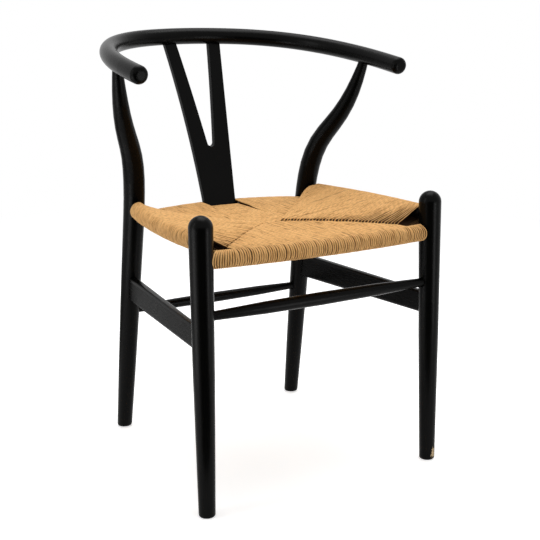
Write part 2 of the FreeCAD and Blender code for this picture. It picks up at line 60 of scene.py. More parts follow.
camera = bpy.data.objects.new("camera", bpy.data.cameras.new("camera"))
camera.location = camera_place
camera.rotation_euler = (camera_aim - camera_place).to_track_quat("-Z", "Y").to_euler()
camera.data.lens = camera_lens
camera.data.sensor_width = sensor_width
bpy.context.collection.objects.link(camera)
bpy.context.scene.camera = camera
bpy.context.scene.view_settings.view_transform = "Standard"
print("camera distance", round((camera_aim - camera_place).length, 3), "m")

# %% [markdown]
# ## Two helpers for every node tree
# Colours are written as the hex values that a paint program shows. Blender computes with linear light,
# so one function turns the one into the other. A second function adds a node, sets its values and links
# its inputs, so that each tree below reads as a list of what it does.

# %% Helpers
def linear(hex_colour):
    """Turn a hex colour into linear red, green, blue and alpha."""
    channels = [int(hex_colour[start:start + 2], 16) / 255 for start in (1, 3, 5)]
    bent = [c / 12.92 if c <= 0.04045 else ((c + 0.055) / 1.055) ** 2.4 for c in channels]
    return (*bent, 1.0)


def add_node(tree, kind, inputs=None, **settings):
    """Add a node. An input is a value or the output socket that feeds it."""
    made = tree.nodes.new(kind)
    for name, value in settings.items():
        setattr(made, name, value)
    for socket, value in (inputs or {}).items():
        if isinstance(value, bpy.types.NodeSocket):
            tree.links.new(value, made.inputs[socket])
        else:
            made.inputs[socket].default_value = value
    return made


def new_material(name):
    """An empty material with its output, ready for a shader."""
    material = bpy.data.materials.new(name)
    material.use_nodes = True
    material.node_tree.nodes.clear()
    return material, material.node_tree


black = "#000000"
white = "#ffffff"
print("black is", linear(black), "and white is", linear(white))

# %% [markdown]
# ## Black lacquer on beech
# The wood is beech under a satin black lacquer. The lacquer fills most of the pores, so the grain only
# shows as a faint streak in the gloss. A Noise Texture stretched along the grain gives that streak to the
# roughness and the bump. The true grain is a few tenths of a millimetre wide, which is too fine to show,
# so it is drawn coarser. Beech is sawn along the length of each piece, so there is one finish for upright
# pieces, one for those that run across and one for those that run front to back. The right front foot has
# been knocked, and the bare wood shows through a few small chips there.

# %% Lacquer finish
lacquer_dark = "#040404"
lacquer_light = "#080807"
# The IOR of a lacquer is about 1.5, and less of it matches the low sheen of this chair
lacquer_ior = 1.15
satin_roughness = (0.2, 0.3)
grain_width = 0.0012
grain_length = 0.045
grain_detail = 3.0
grain_contrast = (0.3, 0.7)
grain_height = 0.00003
grain_strength = 0.6
cloud_size = 0.09
cloud_detail = 2.0
edge_soften = 0.004
edge_samples = 4


def lacquer(name, grain_axis):
    """Satin black lacquer whose grain runs along one axis, and its shader."""
    material, tree = new_material(name)
    place = add_node(tree, "ShaderNodeTexCoord").outputs["Object"]
    stretch = [1 / grain_width] * 3
    stretch[grain_axis] = 1 / grain_length
    along = add_node(tree, "ShaderNodeMapping", {"Vector": place, "Scale": stretch})
    grain = add_node(tree, "ShaderNodeTexNoise", {
        "Vector": along.outputs[0], "Scale": 1.0, "Detail": grain_detail,
    })
    cloud = add_node(tree, "ShaderNodeTexNoise", {
        "Vector": place, "Scale": 1 / cloud_size, "Detail": cloud_detail,
    })
    colour = add_node(tree, "ShaderNodeMix", {
        "Factor": cloud.outputs["Fac"], "A": linear(lacquer_dark), "B": linear(lacquer_light),
    }, data_type="RGBA")
    gloss = add_node(tree, "ShaderNodeMapRange", {
        "Value": grain.outputs["Fac"], "From Min": grain_contrast[0], "From Max": grain_contrast[1],
        "To Min": satin_roughness[0], "To Max": satin_roughness[1],
    })
    soft = add_node(tree, "ShaderNodeBevel", {"Radius": edge_soften}, samples=edge_samples)
    bump = add_node(tree, "ShaderNodeBump", {
        "Height": grain.outputs["Fac"], "Distance": grain_height, "Strength": grain_strength,
        "Normal": soft.outputs["Normal"],
    })
    shader = add_node(tree, "ShaderNodeBsdfPrincipled", {
        "Base Color": colour.outputs["Result"], "Roughness": gloss.outputs["Result"], "IOR": lacquer_ior,
        "Normal": bump.outputs["Normal"],
    })
    add_node(tree, "ShaderNodeOutputMaterial", {"Surface": shader.outputs["BSDF"]})
    return material, shader


across_grain, _ = lacquer("black lacquer, grain across", 0)
deep_grain, _ = lacquer("black lacquer, grain front to back", 1)
upright_grain, _ = lacquer("black lacquer, grain upright", 2)
chipped, chipped_shader = lacquer("black lacquer, chipped foot", 2)
print("lacquer has", len(upright_grain.node_tree.nodes), "nodes")

# %% Chips in the lacquer
bare_wood = "#c9b08a"
chip_centre = Vector((0.2282, -0.2582, 0.013))
chip_half = Vector((0.005, 0.005, 0.013))
chip_size = 0.003
chip_detail = 2.0
chip_raggedness = 2.4
# The lacquer is gone below the first level and whole above the second
chip_levels = (1.85, 1.95)

chip_tree = chipped.node_tree
chip_place = add_node(chip_tree, "ShaderNodeTexCoord").outputs["Object"]
from_chip = add_node(chip_tree, "ShaderNodeVectorMath", {
    0: chip_place, 1: chip_centre,
}, operation="SUBTRACT")
chip_scale = add_node(chip_tree, "ShaderNodeVectorMath", {
    0: from_chip.outputs[0], 1: chip_half,
}, operation="DIVIDE")
chip_far = add_node(chip_tree, "ShaderNodeVectorMath", {0: chip_scale.outputs[0]}, operation="LENGTH")
flakes = add_node(chip_tree, "ShaderNodeTexNoise", {
    "Vector": chip_place, "Scale": 1 / chip_size, "Detail": chip_detail,
})
ragged = add_node(chip_tree, "ShaderNodeMath", {
    0: flakes.outputs["Fac"], 1: chip_raggedness, 2: chip_far.outputs["Value"],
}, operation="MULTIPLY_ADD")
bare = add_node(chip_tree, "ShaderNodeMapRange", {
    "Value": ragged.outputs[0], "From Min": chip_levels[0], "From Max": chip_levels[1],
    "To Min": 1.0, "To Max": 0.0,
})
painted = chipped_shader.inputs["Base Color"].links[0].from_socket
chip_colour = add_node(chip_tree, "ShaderNodeMix", {
    "Factor": bare.outputs["Result"], "A": painted, "B": linear(bare_wood),
}, data_type="RGBA")
chip_tree.links.new(chip_colour.outputs["Result"], chipped_shader.inputs["Base Color"])
print("chips reach up to", round(chip_centre.z + chip_half.z, 3), "m")

# %% Lacquer the wooden pieces
finish_of_piece = {
    "top_bow": across_grain, "front_stretcher": across_grain, "back_stretcher": across_grain,
    "front_seat_rail": across_grain, "back_seat_rail": across_grain,
    "left_seat_rail": deep_grain, "right_seat_rail": deep_grain,
    "left_side_stretcher": deep_grain, "right_side_stretcher": deep_grain,
    "front_leg_left": upright_grain, "front_leg_right": chipped,
    "back_leg_left": upright_grain, "back_leg_right": upright_grain, "back_splat": upright_grain,
}
for piece, finish in finish_of_piece.items():
    nodes[piece].data.materials.clear()
    nodes[piece].data.materials.append(finish)
print("lacquered pieces:", len(finish_of_piece))

# %% [markdown]
# ## Tack steel
# The cord ends are held by small bright steel tacks inside the seat. Drawn steel wire has fine scratches,
# and a roughness that varies every fifth of a millimetre stands for them.

# %% Tack finish
steel_colour = "#b9b9b6"
scratch_size = 0.0002
steel_roughness = (0.25, 0.5)

steel, steel_tree = new_material("bright tack steel")
steel_place = add_node(steel_tree, "ShaderNodeTexCoord").outputs["Object"]
scratches = add_node(steel_tree, "ShaderNodeTexNoise", {"Vector": steel_place, "Scale": 1 / scratch_size})
steel_gloss = add_node(steel_tree, "ShaderNodeMapRange", {
    "Value": scratches.outputs["Fac"], "To Min": steel_roughness[0], "To Max": steel_roughness[1],
})
steel_shader = add_node(steel_tree, "ShaderNodeBsdfPrincipled", {
    "Base Color": linear(steel_colour), "Metallic": 1.0, "Roughness": steel_gloss.outputs["Result"],
})
add_node(steel_tree, "ShaderNodeOutputMaterial", {"Surface": steel_shader.outputs["BSDF"]})
nodes["cord_tacks"].data.materials.clear()
nodes["cord_tacks"].data.materials.append(steel)
print("tacks finished")

# %% [markdown]
# ## Paper cord
# Paper cord is three plies of waxed kraft paper twisted together. To the eye it is a dull tan with a fine
# slanting groove between the plies, and each length is a little lighter or darker than the next. The groove
# is bumped in and painted darker, as painted shade in the crease. The tubes below carry three attributes
# that the finish reads: the distance along the cord, the direction around it, and the number of the cord.
# The number also turns the twist of each cord, so that no two are in step. The side of a cord that faces
# the seat's inside, and the sides where two cords press together, are painted darker, as painted shade. The
# first cell finds where on the cord a point is, and the next two give it its colour and its surface.

# %% Place on the cord
groove_spacing = 0.011
ply_count = 3
streak_length = 0.025
streak_detail = 2.0

paper, paper_tree = new_material("twisted kraft paper cord")
run = add_node(paper_tree, "ShaderNodeAttribute", attribute_name="run").outputs["Fac"]
around = add_node(paper_tree, "ShaderNodeAttribute", attribute_name="around").outputs["Vector"]
number = add_node(paper_tree, "ShaderNodeAttribute", attribute_name="cord").outputs["Fac"]
own = add_node(paper_tree, "ShaderNodeTexWhiteNoise", {"W": number}, noise_dimensions="1D").outputs["Value"]
along_cord = add_node(paper_tree, "ShaderNodeMath", {0: run, 1: 1 / streak_length}, operation="MULTIPLY")
streak_place = add_node(paper_tree, "ShaderNodeCombineXYZ", {
    "X": along_cord.outputs[0], "Y": number, "Z": own,
})
streak = add_node(paper_tree, "ShaderNodeTexNoise", {
    "Vector": streak_place.outputs[0], "Scale": 1.0, "Detail": streak_detail,
}).outputs["Fac"]
split = add_node(paper_tree, "ShaderNodeSeparateXYZ", {"Vector": around}).outputs
angle = add_node(paper_tree, "ShaderNodeMath", {0: split["Y"], 1: split["X"]}, operation="ARCTAN2")
start = add_node(paper_tree, "ShaderNodeMath", {0: own, 1: 2 * math.pi, 2: streak}, operation="MULTIPLY_ADD")
turned = add_node(paper_tree, "ShaderNodeMath", {
    0: run, 1: math.pi / groove_spacing, 2: start.outputs[0],
}, operation="MULTIPLY_ADD")
phase = add_node(paper_tree, "ShaderNodeMath", {
    0: angle.outputs[0], 1: ply_count / 2, 2: turned.outputs[0],
}, operation="MULTIPLY_ADD")
wave = add_node(paper_tree, "ShaderNodeMath", {0: phase.outputs[0]}, operation="SINE")
ply = add_node(paper_tree, "ShaderNodeMath", {0: wave.outputs[0]}, operation="ABSOLUTE").outputs[0]
print("a ply goes once round the cord in", ply_count * groove_spacing, "m")

# %% Colour of the cord
cord_pale = "#edbd7d"
cord_tan = "#d9a362"
# The groove colour is painted shade in the crease between the plies
cord_groove_shade = "#a06d36"
# The darkest colour is painted shade, for the side that faces the seat's inside and where two cords press
# together
cord_painted_shade = "#33200e"
streak_contrast = (0.3, 0.7)
groove_shade_share = 0.5
groove_shade_strength = 0.75
shade_unevenness = 1.6
shade_levels = (0.1, 0.7)

shade = add_node(paper_tree, "ShaderNodeMapRange", {
    "Value": streak, "From Min": streak_contrast[0], "From Max": streak_contrast[1],
})
tan = add_node(paper_tree, "ShaderNodeMix", {
    "Factor": shade.outputs["Result"], "A": linear(cord_pale), "B": linear(cord_tan),
}, data_type="RGBA")
# Painted shade in the groove between the plies
groove_shade = add_node(paper_tree, "ShaderNodeMapRange", {
    "Value": ply, "From Min": 0.0, "From Max": groove_shade_share, "To Min": groove_shade_strength, "To Max": 0.0,
})
groove_shaded = add_node(paper_tree, "ShaderNodeMix", {
    "Factor": groove_shade.outputs["Result"], "A": tan.outputs["Result"], "B": linear(cord_groove_shade),
}, data_type="RGBA")
# Painted shade on the side that faces the seat's inside and where two cords press together, made uneven by
# the streak
shade_depth = add_node(paper_tree, "ShaderNodeMath", {
    0: streak, 1: shade_unevenness, 2: split["Y"],
}, operation="MULTIPLY_ADD")
hidden = add_node(paper_tree, "ShaderNodeMapRange", {
    "Value": shade_depth.outputs[0], "From Min": shade_levels[0], "From Max": shade_levels[1],
})
cord_colour = add_node(paper_tree, "ShaderNodeMix", {
    "Factor": hidden.outputs["Result"], "A": groove_shaded.outputs["Result"], "B": linear(cord_painted_shade),
}, data_type="RGBA")
print("cord colours go from", cord_pale, "to", cord_painted_shade)

# %% Surface of the cord
# Paper fibres are finer than this, and are drawn coarser to show
fibre_size = 0.0012
fibre_detail = 3.0
paper_roughness = (0.62, 0.8)
# The IOR of paper is about 1.5, and less of it matches the dull face of the cord
paper_ior = 1.3
groove_depth = 0.00025
groove_bump = 0.6

paper_place = add_node(paper_tree, "ShaderNodeTexCoord").outputs["Object"]
fibre = add_node(paper_tree, "ShaderNodeTexNoise", {
    "Vector": paper_place, "Scale": 1 / fibre_size, "Detail": fibre_detail,
})
paper_gloss = add_node(paper_tree, "ShaderNodeMapRange", {
    "Value": fibre.outputs["Fac"], "To Min": paper_roughness[0], "To Max": paper_roughness[1],
})
paper_bump = add_node(paper_tree, "ShaderNodeBump", {
    "Height": ply, "Distance": groove_depth, "Strength": groove_bump,
})
paper_shader = add_node(paper_tree, "ShaderNodeBsdfPrincipled", {
    "Base Color": cord_colour.outputs["Result"], "Roughness": paper_gloss.outputs["Result"],
    "IOR": paper_ior, "Normal": paper_bump.outputs["Normal"],
})
add_node(paper_tree, "ShaderNodeOutputMaterial", {"Surface": paper_shader.outputs["BSDF"]})
print("paper cord finish has", len(paper_tree.nodes), "nodes")

# %% [markdown]
# ## A node tree that turns lines into cords
# Every cord is a tube along a line. The lines come from the rails and the seams, and Geometry Nodes do the
# rest: a slow noise lets the cords wander as hand-laid cord does, a circle is swept along each line, and
# the attributes for the finish are stored on the way. The girth of a cord is an attribute of its points,
# because a cord is drawn thin where it dives into a seam. One tree serves all the fields.

# %% Cord tree, the lines
noise_middle = (0.5, 0.5, 0.5)

cord_tree = bpy.data.node_groups.new("cord tubes", "GeometryNodeTree")
for name, kind in (("Lines", "Geometry"), ("Radius", "Float"), ("Sides", "Int"), ("Wander", "Float"),
                   ("Wander Size", "Float"), ("Seed", "Float"), ("Finish", "Material")):
    cord_tree.interface.new_socket(name, in_out="INPUT", socket_type="NodeSocket" + kind)
cord_tree.interface.new_socket("Cords", in_out="OUTPUT", socket_type="NodeSocketGeometry")
given = add_node(cord_tree, "NodeGroupInput").outputs
lines = add_node(cord_tree, "GeometryNodeMeshToCurve", {"Mesh": given["Lines"]})
frequency = add_node(cord_tree, "ShaderNodeMath", {0: 1.0, 1: given["Wander Size"]}, operation="DIVIDE")
drift = add_node(cord_tree, "ShaderNodeTexNoise", {
    "W": given["Seed"], "Scale": frequency.outputs[0], "Detail": 0.0,
}, noise_dimensions="4D")
centred = add_node(cord_tree, "ShaderNodeVectorMath", {
    0: drift.outputs["Color"], 1: noise_middle,
}, operation="SUBTRACT")
offset = add_node(cord_tree, "ShaderNodeVectorMath", {
    0: centred.outputs[0], "Scale": given["Wander"],
}, operation="SCALE")
moved = add_node(cord_tree, "GeometryNodeSetPosition", {
    "Geometry": lines.outputs["Curve"], "Offset": offset.outputs[0],
})
length_along = add_node(cord_tree, "GeometryNodeSplineParameter")
with_run = add_node(cord_tree, "GeometryNodeStoreNamedAttribute", {
    "Geometry": moved.outputs[0], "Name": "run", "Value": length_along.outputs["Length"],
}, data_type="FLOAT", domain="POINT")
print("cord tree has", len(cord_tree.interface.items_tree) - 1, "inputs")

# %% Cord tree, the tubes
circle = add_node(cord_tree, "GeometryNodeCurvePrimitiveCircle", {
    "Resolution": given["Sides"], "Radius": given["Radius"],
})
spot = add_node(cord_tree, "GeometryNodeInputPosition")
outward = add_node(cord_tree, "ShaderNodeVectorMath", {0: spot.outputs[0]}, operation="NORMALIZE")
profile = add_node(cord_tree, "GeometryNodeStoreNamedAttribute", {
    "Geometry": circle.outputs["Curve"], "Name": "around", "Value": outward.outputs[0],
}, data_type="FLOAT_VECTOR", domain="POINT")
girth = add_node(cord_tree, "GeometryNodeInputNamedAttribute", {"Name": "girth"}, data_type="FLOAT")
tubes = add_node(cord_tree, "GeometryNodeCurveToMesh", {
    "Curve": with_run.outputs[0], "Profile Curve": profile.outputs[0], "Scale": girth.outputs["Attribute"],
    "Fill Caps": True,
})
smooth = add_node(cord_tree, "GeometryNodeSetShadeSmooth", {"Geometry": tubes.outputs[0]})
finished = add_node(cord_tree, "GeometryNodeSetMaterial", {
    "Geometry": smooth.outputs[0], "Material": given["Finish"],
})
realized = add_node(cord_tree, "GeometryNodeRealizeInstances", {"Geometry": finished.outputs[0]})
add_node(cord_tree, "NodeGroupOutput", {"Cords": realized.outputs[0]})
print("cord tree has", len(cord_tree.nodes), "nodes")

# %% Lay cords along lines
cord_radius = 0.0018
cord_sides = 10
wander_size = 0.014
wander_reach = 0.0008
wander_seed = 4.0


def lay_cords(name, cords, *replaced):
    """Sweep cords along rows of points and girths, and let them stand for the plain solids."""
    rows = np.concatenate(cords)
    counts = [len(cord) for cord in cords]
    starts = np.cumsum([0] + counts)
    edges = [(i, i + 1) for a, b in zip(starts, starts[1:]) for i in range(a, b - 1)]
    mesh = bpy.data.meshes.new(name)
    mesh.from_pydata(rows[:, :3].tolist(), edges, [])
    numbers = np.repeat(np.arange(len(cords)), counts)
    for attribute, values in (("cord", numbers), ("girth", rows[:, 3])):
        mesh.attributes.new(attribute, "FLOAT", "POINT").data.foreach_set("value", values.astype(np.float32))
    piece = bpy.data.objects.new(name, mesh)
    bpy.context.collection.objects.link(piece)
    modifier = piece.modifiers.new("cord tubes", "NODES")
    modifier.node_group = cord_tree
    values = {"Radius": cord_radius, "Sides": cord_sides, "Wander": wander_reach,
              "Wander Size": wander_size, "Seed": wander_seed, "Finish": paper}
    for item in cord_tree.interface.items_tree:
        if item.name in values:
            modifier[item.identifier] = values[item.name]
    evaluated = piece.evaluated_get(bpy.context.evaluated_depsgraph_get())
    baked = bpy.data.meshes.new_from_object(evaluated)
    piece.modifiers.remove(modifier)
    piece.data = baked
    bpy.data.meshes.remove(mesh)
    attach(piece, "root")
    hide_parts(*replaced)
    print(name, "has", len(cords), "cords and", len(baked.polygons), "faces")


print("cords wander by up to", wander_reach / 2, "m each way")

# %% [markdown]
# ## Where the cords run
# A cord leaves a seam in the middle of the seat, runs to a rail, goes round its outside and comes back
# underneath to the same seam. In the upright plane of the cord, that is two straight lines and an arc that
# touch. The rails are gently bowed, so their middle lines are read from the frame as quadratic curves. The
# back rail has a mortise for the splat, and the points round it are left out.

# %% Rails
rail_radius = 0.0109
cord_gap = 0.0003
roll_radius = rail_radius + cord_gap + cord_radius
rail_curve_degree = 2
splat_mortise_half = 0.03


def rail_line(node, axis, clear_of=0.0):
    """The middle line of a rail, as a function of the coordinate along it."""
    points = np.array([vertex.co for vertex in nodes[node].data.vertices])
    points = points[abs(points[:, axis]) >= clear_of]
    others = [other for other in range(3) if other != axis]
    fits = {other: np.polyfit(points[:, axis], points[:, other], rail_curve_degree) for other in others}

    def at(place):
        point = np.zeros(3)
        way = np.zeros(3)
        point[axis] = place
        way[axis] = 1.0
        for other, fit in fits.items():
            point[other] = np.polyval(fit, place)
            way[other] = np.polyval(np.polyder(fit), place)
        return point, way / np.linalg.norm(way)

    return at


front_rail = rail_line("front_seat_rail", 0)
back_rail = rail_line("back_seat_rail", 0, splat_mortise_half)
side_rails = {-1: rail_line("left_seat_rail", 1), 1: rail_line("right_seat_rail", 1)}
print("front rail middle", front_rail(0.0)[0].round(4))

# %% [markdown]
# ## The seams
# The fields of the seat meet in four seams. They start near the corners and run to the middle, where a
# short row of front cords keeps the left and right seams apart. At the back, the splat leaves a gap between
# the two back fields. A seam point is x, y and the outer heights of the upper and the lower layer of cords.

# %% Seams
front_corner = np.array((0.169, -0.217, 0.4355, 0.411))
back_corner = np.array((0.155, 0.085, 0.439, 0.411))
apex = np.array((0.017, -0.068, 0.432, 0.409))
gap_half = 0.034
gap_dip = np.array((0.0, 0.0, 0.0017, 0.0))
splat_gap = apex + (gap_half - apex[0]) / (back_corner[0] - apex[0]) * (back_corner - apex) - gap_dip
side_start_y = -0.206
side_apex_y = -0.062
side_end_y = {-1: 0.077, 1: 0.085}
print("seams meet the gap at", splat_gap[:2].round(4))

# %% [markdown]
# ## How two fields meet
# At each seam, one field lies over the other. The cords that lie over run a little past the seam and dive
# into the seat. The cords that lie under dip before the seam and pass beneath. Going round the chair, left
# lies over front, front over right, right over back and back over left, as one unbroken cord makes it. A
# cord is drawn thin towards its seam, which leaves a slit beside it. Near a corner it can lean along the
# rail, and its upper run can rise in a low crown.

# %% One cord
straight_points = 7
roll_points = 17
# The ends of a cord at the upper seam, as steps inward and up from the seam
over_steps = ((0.0040, -0.0075), (0.0032, -0.0030), (0.0016, -0.0004))
under_steps = ((0.0045, -0.0070), (0.0026, -0.0042), (0.0006, -0.0006))
# A slit is its length and the girth that a cord is drawn to at the seam
plain_slit = np.array((0.003, 0.55))
longest_slit_share = 0.9
field_girth = 1.1


def cord_path(rail, place, seam, lies_over, slit, lean, crown, roll_girth):
    """The points and girths of one cord, from the upper seam round the rail to the lower seam."""
    point, way = rail(place)
    inward = seam[:2] - point[:2]
    reach = np.linalg.norm(inward)
    inward = inward / reach
    slant = 1 / abs(inward[0] * way[1] - inward[1] * way[0])
    along = reach / slant
    top = seam[2] - cord_radius - point[2]
    under = seam[3] + cord_radius - point[2]
    top_angle = math.atan2(top, along) + math.acos(roll_radius / math.hypot(along, top))
    under_angle = math.atan2(under, along) - math.acos(roll_radius / math.hypot(along, under)) + 2 * math.pi
    angles = np.linspace(top_angle, under_angle, roll_points)
    roll = np.column_stack((np.cos(angles), np.sin(angles))) * roll_radius
    run = roll[0] - (along, top)
    slit_length, seam_girth = slit
    slit_share = min(slit_length / np.linalg.norm(run), longest_slit_share)
    shares = np.sort(np.append(np.linspace(0, 1, straight_points)[:-1], slit_share))
    upper = (along, top) + np.outer(shares, run)
    upper[:, 1] += crown * np.sin(math.pi * shares)
    lower = np.linspace(roll[-1], (along, under), straight_points)[1:]
    steps = np.array(over_steps if lies_over else under_steps)
    top_end = np.array((along, top)) + steps
    under_end = np.array((along, under)) + (steps * (1, -1))[::-1]
    flat = np.concatenate((top_end, upper, roll, lower, under_end))
    path = np.tile(point, (len(flat), 1))
    path[:, :2] += np.outer(flat[:, 0] * slant, inward)
    path[:, 2] += flat[:, 1]
    # The lean grows over the first half of the roll and fades on the way back
    lean_share = np.concatenate((
        np.zeros(len(top_end) + len(upper)), np.minimum(np.linspace(0, 2, roll_points), 1),
        np.linspace(1, 0, len(lower)), np.zeros(len(under_end)),
    ))
    path += np.outer(lean_share * lean, way)
    is_upper = np.arange(len(flat)) < len(top_end) + len(upper)
    thin_length = np.where(is_upper, slit_length, plain_slit[0])
    thin_girth = np.where(is_upper, seam_girth, plain_slit[1])
    thin_share = np.clip(1 - (along - flat[:, 0]) / thin_length, 0, 1)
    girth = np.where(flat[:, 0] > roll_radius, field_girth, roll_girth) * (1 - (1 - thin_girth) * thin_share)
    return np.column_stack((path, girth))


print("points on a cord:", 2 * (len(over_steps) + straight_points) - 1 + roll_points)

# %% One field
weave_seed = 7
chance = np.random.default_rng(weave_seed)
spread = 0.0003
level_spread = 0.0004
slit_fade_power = 3
lean_cords = 14
crown_cords = 12


def field(rail, count, first_place, last_place, first_seam, last_seam, lies_over,
          swell=0.0, rise=0.0, slits=(plain_slit, plain_slit), corner_lean=0.0, corner_crown=0.0,
          roll_girth=1.0):
    """A row of cords between two places on a rail and two ends of a seam. The first is at the corner."""
    cords = []
    for index in range(count):
        share = (index + 0.5) / count
        place = first_place + share * (last_place - first_place) + chance.uniform(-spread, spread)
        seam = first_seam + share * (last_seam - first_seam)
        seam[:2] += chance.uniform(-spread, spread, 2)
        seam[2] += rise + swell * math.sin(math.pi * share) + chance.uniform(-level_spread, level_spread)
        slit = slits[1] + (slits[0] - slits[1]) * (1 - share) ** slit_fade_power
        lean = corner_lean * max(0.0, 1 - index / lean_cords)
        crown = corner_crown * max(0.0, 1 - index / crown_cords)
        cords.append(cord_path(rail, place, seam, lies_over, slit, lean, crown, roll_girth))
    return cords


def mirrored(points):
    """The same points on the left half."""
    return points * (-1, 1, 1, 1)


print("cords stray by up to", spread, "m from their places")

# %% [markdown]
# ## Inside the seat
# At a seam, a cord turns down and goes on inside the seat, straight to the seam on the other side. So a row
# of hidden cords lies between the two layers of each field, and the floor doesn't show through the seat. A
# girth below zero turns a cord over, so that its side with the painted shade is up.

# %% Hidden cords
# A point is x, y, z and girth. The side fields rise to their rails, and the cords inside them rise too
# A girth below zero puts the painted shade of a cord on top
hidden_girth = -1.25
hidden_front = np.array((0.167, -0.224, 0.4212, hidden_girth))
hidden_middle = np.array((0.017, -0.066, 0.4205, hidden_girth))
hidden_gap = np.array((0.036, -0.047, 0.4212, hidden_girth))
hidden_splat = np.array((0.036, 0.110, 0.4212, hidden_girth))
hidden_back = np.array((0.160, 0.100, 0.4212, hidden_girth))
hidden_side = np.array((
    (0.172, -0.205, 0.4260, hidden_girth),
    (0.192, -0.060, 0.4440, hidden_girth),
    (0.165, 0.080, 0.4300, hidden_girth),
))


def hidden_cords(count, first, last):
    """A row of cords from the first line of points to the last."""
    shares = (np.arange(count) + 0.5) / count
    return [first + share * (last - first) for share in shares]


print("hidden cords are", round(2 * abs(hidden_girth) * cord_radius, 4), "m thick")

# %% [markdown]
# ## Weaving the fields
# The front field is three rows of cords: one to the left seam, one to the right seam and a few between. A
# side field is two rows, one to the front seam and one to the back seam. The cords of a side field lean
# towards the front leg, because the rail behind the leg has to be covered too. The right field comes in
# higher than the front one and drops at their seam, and its cords stand apart near the corner.

# %% Counts and shapes of the fields
front_count = 38
middle_count = 8
side_front_count = 37
side_back_count = 35
back_count = 30
front_swell = 0.003
right_slits = np.array(((0.13, 0.38), (0.005, 0.74)))
right_rise = 0.0045
right_crown = 0.007
leg_lean = -0.012
left_back_lean = -0.006
side_roll_girth = 1.08
print("cords on the front rail:", 2 * front_count + middle_count)

# %% Front field
front_cords = field(front_rail, middle_count, -apex[0], apex[0], mirrored(apex), apex, True)
for side, turn, over in ((-1, mirrored, False), (1, np.array, True)):
    front_cords += field(front_rail, front_count, side * front_corner[0], side * apex[0],
                         turn(front_corner), turn(apex), over, front_swell)
front_cords += hidden_cords(side_front_count, np.array((mirrored(hidden_front), hidden_front)),
                            np.array((mirrored(hidden_middle), hidden_middle)))
lay_cords("woven_front", front_cords, "seat_weave_front")

# %% Side and back fields
for side, word, turn, over_front, over_back, rise, slits, back_lean, crown in (
    (-1, "left", mirrored, True, False, 0.0, (plain_slit, plain_slit), left_back_lean, 0.0),
    (1, "right", np.array, False, True, right_rise, right_slits, 0.0, right_crown),
):
    side_cords = field(side_rails[side], side_front_count, side_start_y, side_apex_y,
                       turn(front_corner), turn(apex), over_front, front_swell, rise, slits, leg_lean,
                       roll_girth=side_roll_girth)
    side_cords += field(side_rails[side], side_back_count, side_end_y[side], side_apex_y,
                        turn(back_corner), turn(apex), over_back, corner_lean=back_lean, corner_crown=crown,
                        roll_girth=side_roll_girth)
    side_cords += hidden_cords(front_count, turn(hidden_side), turn(hidden_middle))
    lay_cords("woven_" + word, side_cords, "seat_weave_" + word)
    back_cords = field(back_rail, back_count, side * back_corner[0], side * gap_half,
                       turn(back_corner), turn(splat_gap), not over_back)
    back_line = np.array((hidden_back, hidden_splat))
    back_cords += hidden_cords(side_back_count, turn(back_line), turn(hidden_gap))
    lay_cords("woven_back_" + word, back_cords, "seat_weave_back_" + word)

# %% [markdown]
# ## The cross cords in front of the splat
# The splat stands on the middle of the back rail, so no cord can go round the rail there. The cords that
# cross inside the seat, from one side rail to the other, show in this gap. They lie nearly level with the
# fields, a little lower at both ends of the gap, and pass beneath the fields on both sides. Hidden cords run
# lengthwise under them.

# %% Cross cords
cross_count = 48
cross_end_y = 0.1225
cross_low_z = 0.4297
cross_bulge = 0.0013
cross_half = 0.0355
cross_points = 9

cross_cords = []
for index in range(cross_count):
    share = (index + 0.5) / cross_count
    across = np.linspace(-cross_half, cross_half, cross_points)
    y = apex[1] + share * (cross_end_y - apex[1]) + chance.uniform(-spread, spread)
    z = cross_low_z + cross_bulge * math.sin(math.pi * share) + chance.uniform(-spread, spread)
    level = np.ones(cross_points)
    cross_cords.append(np.column_stack((across, level * y, level * z, level)))
print("cross cords reach", cross_half, "m to each side")

# %% Lengthwise cords under them
lengthwise_count = 17
hidden_apex = np.array((0.036, -0.066, 0.4205, hidden_girth))

lengthwise = np.array((hidden_apex, hidden_splat))
cross_cords += hidden_cords(lengthwise_count, mirrored(lengthwise), lengthwise)
lay_cords("woven_centre", cross_cords, "seat_weave_centre")

# %% [markdown]
# ## The winding at the ends of the front rail
# The front rail is longer than the back rail, so the fields leave its two ends bare. The weaver winds plain
# turns there until the rail is covered up to the legs. A helix along the bowed rail line makes them, cut
# into single turns so that each gets its own shade. At the front, the turns spread towards the leg.

# %% Windings
winding_turns = {-1: 10, 1: 8}
winding_start_x = 0.1688
winding_end_x = 0.2000
winding_spreads = {-1: 0.0115, 1: 0.0035}
points_per_turn = 24
top_of_rail_share = 0.25


def winding_point(side, turns_done):
    """A point of the winding at one end of the rail, with its girth. The turns start on top of the rail."""
    angle = 2 * math.pi * (turns_done + top_of_rail_share)
    share = turns_done / winding_turns[side]
    front_share = max(0.0, -math.cos(angle))
    x = winding_start_x + share * (winding_end_x - winding_start_x + front_share * winding_spreads[side])
    point, way = front_rail(side * x)
    level = np.cross((0, 0, 1), way)
    level = level / np.linalg.norm(level)
    out = level * math.cos(angle) + np.cross(way, level) * math.sin(angle)
    return np.append(point + out * roll_radius, 1.0)


winding_cords = []
for side, turns in winding_turns.items():
    for turn in range(turns):
        parts = np.linspace(turn, turn + 1, points_per_turn + 1)
        winding_cords.append(np.array([winding_point(side, part) for part in parts]))
lay_cords("front_windings", winding_cords, "front_rail_windings")

# %% [markdown]
# ## Floor and light
# A studio shot of this kind has a white floor that runs out of sight and large soft lamps. The floor is
# pale and takes the chair's soft shadow, and fades to pure white further out, so no horizon shows. The
# world is white where the camera or a reflection looks at it, and a plain grey for the light that it
# sheds. One large lamp overhead and a narrow one at the left give the form. A weak one in front lifts the
# front edge of the seat, and the lacquer doesn't mirror it.

